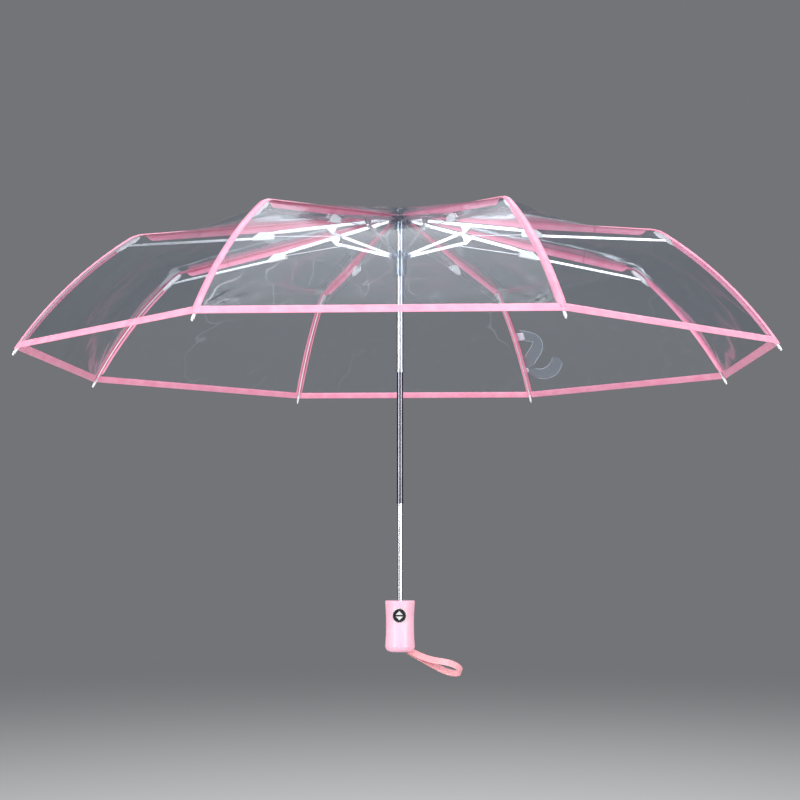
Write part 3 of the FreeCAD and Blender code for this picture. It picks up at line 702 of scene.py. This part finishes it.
def hem_tape(rib, side, m, name):
    """Binding folded over the hem, from a rib to mid gore."""
    turn = rib_turn(rib)
    spin = turn.to_3x3()
    wide = 2 * TAPE_HALF
    half_gore = gore_width(HEM_AT) / 2
    section = [(-wide, TAPE_TOP - 0.0002), (-wide * 0.75, TAPE_TOP), (-wide * 0.5, TAPE_TOP),
               (-wide * 0.25, TAPE_TOP), (-0.0004, TAPE_TOP), (0.0002, TAPE_TOP * 0.5),
               (0.0002, -0.0002), (-0.0004, -0.0005), (-wide * 0.3, -0.0005),
               (-wide * 0.65, -0.0005), (-wide, -0.0003)]
    rings, uvs, stitches = [], [], []

    def place(across, up, height):
        """A point across from the rib, up past the hem and height off the film."""
        share = across / gore_width(HEM_AT)
        s = HEM_AT + min(up, 0.0)
        normal = film_normal(rib, side, HEM_AT - ON_HEM, share)
        heading = seam_heading(HEM_AT - ON_HEM)
        down = Vector((heading.x, 0, heading.y))
        return turn @ (film_point(rib, side, s, share) + normal * height + down * max(up, 0.0))

    for across in tight_ends(spread(0.0, half_gore, round(half_gore / TAPE_STEP))):
        settled = smooth((half_gore - across) / HEM_SETTLES)
        pucker = HEM_PUCKER * math.sin(across * 2 * math.pi / HEM_PUCKER_STEP + rib) * settled
        ring = [place(across, up + (pucker if up < -0.009 else 0.0), height) for up, height in section]
        rings.append(ring if side > 0 else list(reversed(ring)))
        row = [(across, up) for up, _ in section]
        uvs += row if side > 0 else list(reversed(row))
    for k in range(int(half_gore / STITCH_STEP)):
        across = (k + 0.5) * STITCH_STEP
        along = (place(across + 0.001, -0.005, 0) - place(across, -0.005, 0)).normalized()
        off = spin @ film_normal(rib, side, HEM_AT - ON_HEM, across / gore_width(HEM_AT))
        for up in (-wide + STITCH_IN, -0.0022):
            stitches.append((place(across, up, STITCH_AT), along, off))
    return tape_object(name, rings, uvs, stitches, m)


def binding(m):
    """Pink tape over every seam and round the hem."""
    half_way = (MID_AT + KNEE_AT) / 2
    for i in range(RIBS):
        upper = seam_tape(i, SEAM_START, half_way, m, "tape_upper_%d" % (i + 1))
        lower = seam_tape(i, half_way, HEM_AT - SEAM_STOP, m, "tape_lower_%d" % (i + 1))
        names = ["%s_%d" % (stem, i + 1) for stem in ("top_rib", "middle_rib", "tail_rib")]
        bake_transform(upper)
        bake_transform(lower)
        hems = []
        for side, word in ((1, "left"), (-1, "right")):
            hem = hem_tape(i, side, m, "hem_%s_%d" % (word, i + 1))
            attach(hem, names[2])
            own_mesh(hem)
            hems.append(hem)
        for ob in [upper, lower] + hems:
            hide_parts("canopy_binding")


def ferrules(m):
    """White sleeve at each rib's outer end, where the canopy's corner is held."""
    heading = seam_heading(HEM_AT - SEAM_STOP)
    back = -Vector((heading.x, 0, heading.y))
    end = Vector((RIB_END.x, 0, RIB_END.y)) + back * FERRULE_IN
    side = Vector((0, 1, 0))
    up = side.cross(back).normalized()
    for i in range(RIBS):
        turn = rib_turn(i)
        rings = []
        for reach, radius in FERRULE:
            rings.append([turn @ (end + back * reach + (side * math.cos(a) + up * math.sin(a)) * radius)
                          for a in spread(0, 2 * math.pi, 16)[:-1]])
        verts, faces = loft(rings)
        ob = mesh_object("ferrule_%d" % (i + 1), verts, faces, [m["white"]])
        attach(ob, "tail_rib_%d" % (i + 1))


# ---------------------------------------------------------------- closing strap
def strap_axes():
    """The closing strap's own frame: a point on the seam, out along the gore, up it, off it."""
    turn = rib_turn(STRAP_RIB).to_3x3()
    s = HEM_AT - STRAP_FOOT
    foot, above = film_point(STRAP_RIB, -1, s, 0.0), film_point(STRAP_RIB, -1, s - 0.05, 0.0)
    out = Vector((-math.sin(HALF_GORE), -math.cos(HALF_GORE), 0))
    up = (above - foot).normalized()
    off = out.cross(up).normalized()
    off = off if off.z > 0 else -off
    return turn @ foot, turn @ out, turn @ up, turn @ off


def band(name, line, m, round_end):
    """A clear band along a smooth line of (out, up, off) points, a little narrower at its start."""
    foot, out, up, off = strap_axes()
    path = smooth_path([foot + out * a + up * b + off * c for a, b, c in line])
    columns, verts, uvs = 9, [], []
    reach = [0.0]
    for a, b in zip(path, path[1:]):
        reach.append(reach[-1] + (b - a).length)
    for k, p in enumerate(path):
        heading = (path[min(k + 1, len(path) - 1)] - path[max(k - 1, 0)]).normalized()
        wide = heading.cross(off).normalized()
        left = reach[-1] - reach[k]
        half = BAND_HALF * (BAND_START + (1 - BAND_START) * smooth(reach[k] / BAND_WIDENS))
        if round_end and left < BAND_HALF:
            half = math.sqrt(max(BAND_HALF ** 2 - (BAND_HALF - left) ** 2, 1e-8))
        for v in spread(-1.0, 1.0, columns - 1):
            verts.append(p + wide * (half * v) + off * (BAND_CURL * v * v))
            uvs.append((reach[k], half * v))
    ob = mesh_object(name, verts, grid_faces(len(path), columns), [m["strap_film"]], None, uvs)
    return ob


def smooth_path(points, order=3, resolution=8):
    """Points along the NURBS line whose control points are given."""
    curve = bpy.data.curves.new("path", "CURVE")
    curve.dimensions = "3D"
    spline = curve.splines.new("NURBS")
    spline.points.add(len(points) - 1)
    for place, p in zip(spline.points, points):
        place.co = (*p, 1.0)
    spline.order_u = order
    spline.use_endpoint_u = True
    spline.resolution_u = resolution
    ob = bpy.data.objects.new("path", curve)
    mesh = bpy.data.meshes.new_from_object(ob)
    line = [v.co.copy() for v in mesh.vertices]
    bpy.data.objects.remove(ob)
    bpy.data.curves.remove(curve)
    bpy.data.meshes.remove(mesh)
    return line


def closing_strap(m):
    """The clear band that wraps the closed canopy, open, on its tab beside a rib's seam."""
    lower = band("closing_band", HANGING_ROUTE, m, True)
    upper = band("closing_band_end", LOOPED_ROUTE, m, False)
    foot, out, up, off = strap_axes()
    pad = slab("closing_pad", foot + out * 0.009 + up * 0.064 + off * 0.0034, out, up, off,
               (0.0075, 0.0065, 0.0007), 0.002, m["pad"])
    tab = slab("closing_tab", foot + out * 0.002 + up * 0.001 + off * 0.0016, out, up, off,
               (0.0055, 0.0035, 0.0009), 0.001, m["white"])
    pieces = [(lower, "clear_film"), (upper, "clear_film"), (pad, "hook_pad"), (tab, "hook_pad")]
    for ob, slot_name in pieces:
        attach(ob, "tail_rib_%d" % (STRAP_RIB + 1))
        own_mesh(ob)
    for ob in (lower, upper):
        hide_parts("closing_strap")
    for ob in (pad, tab):
        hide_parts("closing_patch")


def slab(name, centre, out, up, off, half, corner, material):
    """A small cushion-edged rectangle with rounded corners; half is (out, up, off)."""
    outline = []
    for sx, sy, start in ((1, 1, 0), (-1, 1, 90), (-1, -1, 180), (1, -1, 270)):
        for step in spread(0, 90, 4):
            a = math.radians(start + step)
            outline.append((sx * (half[0] - corner) + corner * math.cos(a),
                            sy * (half[1] - corner) + corner * math.sin(a)))
    rings = []
    for height, inset in SLAB_EDGE:
        rings.append([centre + off * (half[2] * height)
                      + out * (x * (1 - inset / half[0])) + up * (y * (1 - inset / half[1]))
                      for x, y in outline])
    verts, faces = loft(rings)
    return mesh_object(name, verts, faces, [material])


# ---------------------------------------------------------------- handle
def strap_point(along, across, wide=0.0):
    """A point in the wrist strap's tilted plane, in the row frame."""
    tilt = Matrix.Rotation(-STRAP_TILT, 3, "X")
    drop = Matrix.Rotation(STRAP_DROP, 3, "Y")
    return STRAP_EXIT + drop @ (tilt @ Vector((along, across, wide)))


def wrist_strap(m):
    """Soft woven ribbon loop that comes out of the grip's foot and goes back in."""
    path = smooth_path([strap_point(a, b) for a, b in STRAP_ROUTE], resolution=12)
    wide_way = (strap_point(0, 0, 1) - strap_point(0, 0, 0)).normalized()
    section = []
    for a in spread(0, 2 * math.pi, 20)[:-1]:
        x = math.copysign(abs(math.cos(a)) ** 0.5, math.cos(a))
        y = math.copysign(abs(math.sin(a)) ** 0.8, math.sin(a))
        section.append((x * STRAP_WIDE / 2, y * STRAP_THICK / 2))
    rings, uvs, reach = [], [], 0.0
    for k, p in enumerate(path):
        if k:
            reach += (p - path[k - 1]).length
        heading = (path[min(k + 1, len(path) - 1)] - path[max(k - 1, 0)]).normalized()
        thick_way = wide_way.cross(heading).normalized()
        rings.append([p + wide_way * x + thick_way * y for x, y in section])
        uvs += [(reach, x) for x, _ in section]
    verts, faces = loft(rings)
    ob = mesh_object("wrist_ribbon", verts, faces, [m["webbing"]], None, uvs)
    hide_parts("wrist_strap")
    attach(ob, "handle")


def button_mark(m):
    """Plain silver inlay on the button: one triangle up and one down, with a gap between."""
    low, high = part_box("push_button")
    face, middle = low.y, (low.z + high.z) / 2
    verts, faces = [], []
    for up in (1, -1):
        outline = [(-MARK_HALF, MARK_GAP), (MARK_HALF, MARK_GAP), (0.0, MARK_TALL)]
        for step in (0, 1):
            depth = face + MARK_PROUD - MARK_SUNK * step
            verts += [Vector((x * (1 - MARK_DRAFT * step), depth, middle + up * z)) for x, z in outline]
        start = len(verts) - 6
        sides = [(start + k, start + (k + 1) % 3, start + 3 + (k + 1) % 3, start + 3 + k)
                 for k in range(3)]
        ends = [(start + 2, start + 1, start), (start + 3, start + 4, start + 5)]
        faces += [f if up < 0 else tuple(reversed(f)) for f in sides + ends]
    ob = mesh_object("button_mark", verts, faces, [m["mark"]], flat=True)
    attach(ob, "button")


def coil(name, start, axis, long, radius, wire, pitch, material):
    """Round-wire compression spring from start, along axis."""
    side = axis.orthogonal().normalized()
    other = axis.cross(side)
    rings, steps = [], 14
    for k in range(round(long / pitch * steps) + 1):
        a = 2 * math.pi * k / steps
        out = side * math.cos(a) + other * math.sin(a)
        centre = start + axis * (pitch * k / steps) + out * radius
        rings.append([centre + (out * math.cos(b) + axis * math.sin(b)) * wire
                      for b in spread(0, 2 * math.pi, 8)[:-1]])
    verts, faces = loft(rings)
    return mesh_object(name, verts, faces, [material])


def springs(m):
    """The shaft's long spring, in two lengths, one riding with the handle and one with the middle shaft,
    and the button's.
    """
    low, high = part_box("main_spring")
    radius, up = (high.x - low.x) / 2 - SPRING_WIRE, Vector((0, 0, 1))
    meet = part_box("middle_tube")[0].z + SPRING_MEET
    lengths = [("spring_lower", low.z, meet, "handle", "middle_slide"),
               ("spring_upper", meet, high.z, "middle_shaft", "upper_slide")]
    for name, foot, head, body, slide in lengths:
        ob = coil(name, Vector((0, 0, foot)), up, head - foot - SPRING_CLEAR, radius, SPRING_WIRE,
                  SPRING_PITCH, m["spring"])
        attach(ob, body)
        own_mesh(ob)
        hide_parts("main_spring")
    low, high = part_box("button_spring")
    back = Vector((0, -1, 0))
    start = Vector((0, high.y - BUTTON_WIRE, (low.z + high.z) / 2))
    long = high.y - low.y - 2 * BUTTON_WIRE
    ob = coil("spring_button", start, back, long, (high.z - low.z) / 2 - BUTTON_WIRE, BUTTON_WIRE,
              BUTTON_PITCH, m["spring"])
    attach(ob, "handle")
    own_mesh(ob)
    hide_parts("button_spring")


# ---------------------------------------------------------------- camera, floor and light
def camera():
    data = bpy.data.cameras.new("camera")
    data.sensor_width = CAMERA_SENSOR
    data.lens = CAMERA_LENS
    ob = bpy.data.objects.new("camera", data)
    ob.location = (CAMERA_AWAY * math.sin(CAMERA_SIDE), -CAMERA_AWAY * math.cos(CAMERA_SIDE), CAMERA_UP)
    ob.rotation_euler = (math.pi / 2 + CAMERA_PITCH, 0, CAMERA_SIDE)
    bpy.context.scene.collection.objects.link(ob)
    bpy.context.scene.camera = ob


def backdrop(colour):
    world = bpy.data.worlds.new("studio")
    bpy.context.scene.world = world
    world.use_nodes = True
    world.node_tree.nodes["Background"].inputs["Color"].default_value = (*colour, 1)


def floor(colour, far_colour):
    """Pale floor that fades into the backdrop's colour far from the object."""
    n = Nodes("floor")
    n.set(Base_Color=(*colour, 1), Roughness=0.7)
    glow = n.add("ShaderNodeEmission", {"Color": (*far_colour, 1)})
    fade = n.map(n.from_axis(), FADE_FROM, FADE_TO, 0.0, 1.0)
    n.surface(fade, n.shader.outputs["BSDF"], glow.outputs[0])
    corners = [(x * FLOOR_REACH, y * FLOOR_REACH, FLOOR_LEVEL)
               for x, y in ((-1, -1), (1, -1), (1, 1), (-1, 1))]
    ob = mesh_object("floor", corners, [(0, 1, 2, 3)], [n.material], flat=True)


def area_light(name, place, size, power, aim=(0, 0, 0.4)):
    data = bpy.data.lights.new(name, "AREA")
    data.shape = "RECTANGLE"
    data.size, data.size_y = size
    data.energy = power
    ob = bpy.data.objects.new(name, data)
    ob.location = place
    ob.rotation_euler = (Vector(aim) - Vector(place)).to_track_quat("-Z", "Y").to_euler()
    bpy.context.scene.collection.objects.link(ob)


def studio():
    bpy.context.scene.view_settings.view_transform = "Standard"
    far_colour = (0.170, 0.175, 0.185)
    backdrop(far_colour)
    floor((0.52, 0.52, 0.53), far_colour)
    area_light("overhead", (0.0, -0.3, 2.7), (3.2, 2.2), 62)
    area_light("key", (-1.9, -2.3, 1.1), (1.3, 1.8), 62)
    area_light("fill", (2.2, -2.0, 0.7), (1.3, 1.6), 40)
    area_light("rim", (0.7, 1.7, 2.9), (1.2, 0.7), 30)
    area_light("strip_left", (-1.2, -1.3, 0.3), (0.25, 1.5), 8)
    area_light("strip_right", (1.2, -1.3, 0.3), (0.25, 1.5), 8)


# ---------------------------------------------------------------- build
def main():
    camera()
    materials = make_materials()
    dress_cad(materials)
    wrist_strap(materials)
    button_mark(materials)
    springs(materials)
    film(materials)
    binding(materials)
    ferrules(materials)
    closing_strap(materials)
    studio()


main()
